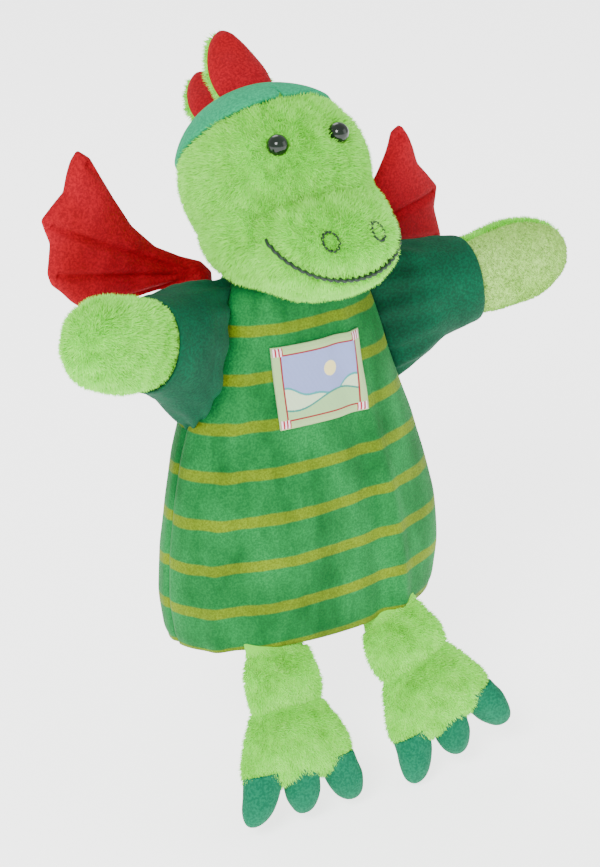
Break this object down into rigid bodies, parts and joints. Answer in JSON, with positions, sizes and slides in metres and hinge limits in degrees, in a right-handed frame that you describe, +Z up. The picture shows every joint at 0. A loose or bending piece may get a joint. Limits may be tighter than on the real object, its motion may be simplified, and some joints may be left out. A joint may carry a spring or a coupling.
{
  "type": "glove puppet",
  "caption": "Plush dragon glove puppet with striped tunic, padded wings, crest, stitched smile and hanging legs; head, arms, wings and feet move.",
  "frame": {"origin": "middle of the hand opening, on the plane of the tunic's hem", "axes": "+Z up the body to the head, the puppet faces -Y, its left side is +X"},
  "size_m": [0.2929, 0.1523, 0.3634],
  "materials": {
    "lime_plush": "long pile",
    "teal_velour": "short pile",
    "hood_velour": "short pile",
    "striped_velour": "short pile",
    "red_velour": "short pile",
    "pale_velour": "flat pile",
    "sole_velour": "flat pile",
    "black_thread": "matte",
    "eye_plastic": "gloss",
    "woven_label": "woven",
    "lining_cloth": "woven",
    "wadding": "soft"
  },
  "bodies": {
    "tunic": {"tunic_front": "striped_velour", "tunic_back": "striped_velour", "hem_facing": "lining_cloth", "neck_binding": "teal_velour", "chest_patch": "woven_label"},
    "neck": {"throat": "lining_cloth"},
    "head": {"head_filling": "wadding", "finger_tube": "lining_cloth", "face_skin": "lime_plush", "hood": "hood_velour", "eye_left": "eye_plastic", "eye_right": "eye_plastic", "mouth_stitch": "black_thread", "nostril_left": "black_thread", "nostril_right": "black_thread", "crest_one_front": "red_velour", "crest_one_back": "lime_plush", "crest_two_front": "red_velour", "crest_two_back": "lime_plush"},
    "shoulder_left": {"gusset_left": "teal_velour"},
    "arm_left": {"sleeve_left": "teal_velour", "mitt_left_palm": "pale_velour", "mitt_left_back": "lime_plush"},
    "wing_left": {"wing_left_front": "red_velour", "wing_left_back": "red_velour"},
    "leg_left": {"shank_left": "lime_plush"},
    "foot_left": {"foot_left": "lime_plush", "sole_left": "sole_velour", "toe_left_inner": "teal_velour", "toe_left_middle": "teal_velour", "toe_left_outer": "teal_velour"},
    "shoulder_right": {"gusset_right": "teal_velour"},
    "arm_right": {"sleeve_right": "teal_velour", "mitt_right_palm": "lime_plush", "mitt_right_back": "lime_plush"},
    "wing_right": {"wing_right_front": "red_velour", "wing_right_back": "red_velour"},
    "leg_right": {"shank_right": "lime_plush"},
    "foot_right": {"foot_right": "lime_plush", "sole_right": "sole_velour", "toe_right_inner": "teal_velour", "toe_right_middle": "teal_velour", "toe_right_outer": "teal_velour"}
  },
  "joints": [
    {"name": "head_turn", "type": "hinge", "parent": "tunic", "child": "neck", "pos_m": [0, 0.002, 0.186], "axis": [0, 0, 1], "range_deg": [-28, 28]},
    {"name": "head_nod", "type": "hinge", "parent": "neck", "child": "head", "pos_m": [0, 0.002, 0.186], "axis": [1, 0, 0], "range_deg": [-16, 12]},
    {"name": "arm_left_swing", "type": "hinge", "parent": "tunic", "child": "shoulder_left", "pos_m": [0.04, 0, 0.147], "axis": [0, 0, 1], "range_deg": [-45, 4]},
    {"name": "arm_left_raise", "type": "hinge", "parent": "shoulder_left", "child": "arm_left", "pos_m": [0.04, 0, 0.147], "axis": [-0.0872, -0.9962, 0], "range_deg": [-11, 18]},
    {"name": "wing_left_fold", "type": "hinge", "parent": "tunic", "child": "wing_left", "pos_m": [0.024, 0.03, 0.168], "axis": [0, 0, 1], "range_deg": [-13, 18], "stiffness_Nm_per_rad": 0.02},
    {"name": "hip_left_swing", "type": "hinge", "parent": "tunic", "child": "leg_left", "pos_m": [0.033, -0.032, -0.0046], "axis": [1, 0, 0], "range_deg": [-45, 25]},
    {"name": "ankle_left_flex", "type": "hinge", "parent": "leg_left", "child": "foot_left", "pos_m": [0.03997, -0.04021, -0.02605], "axis": [0.9511, 0, 0.309], "range_deg": [-20, 20]},
    {"name": "arm_right_swing", "type": "hinge", "parent": "tunic", "child": "shoulder_right", "pos_m": [-0.04, 0, 0.147], "axis": [0, 0, 1], "range_deg": [-25, 22]},
    {"name": "arm_right_raise", "type": "hinge", "parent": "shoulder_right", "child": "arm_right", "pos_m": [-0.04, 0, 0.147], "axis": [-0.4695, 0.8829, 0], "range_deg": [-24, 6]},
    {"name": "wing_right_fold", "type": "hinge", "parent": "tunic", "child": "wing_right", "pos_m": [-0.024, 0.03, 0.168], "axis": [0, 0, 1], "range_deg": [-30, 5], "stiffness_Nm_per_rad": 0.02},
    {"name": "hip_right_swing", "type": "hinge", "parent": "tunic", "child": "leg_right", "pos_m": [-0.033, -0.032, -0.0046], "axis": [1, 0, 0], "range_deg": [-45, 25]},
    {"name": "ankle_right_flex", "type": "hinge", "parent": "leg_right", "child": "foot_right", "pos_m": [-0.03418, -0.04021, -0.02712], "axis": [0.9986, 0, -0.0523], "range_deg": [-20, 20]}
  ]
}
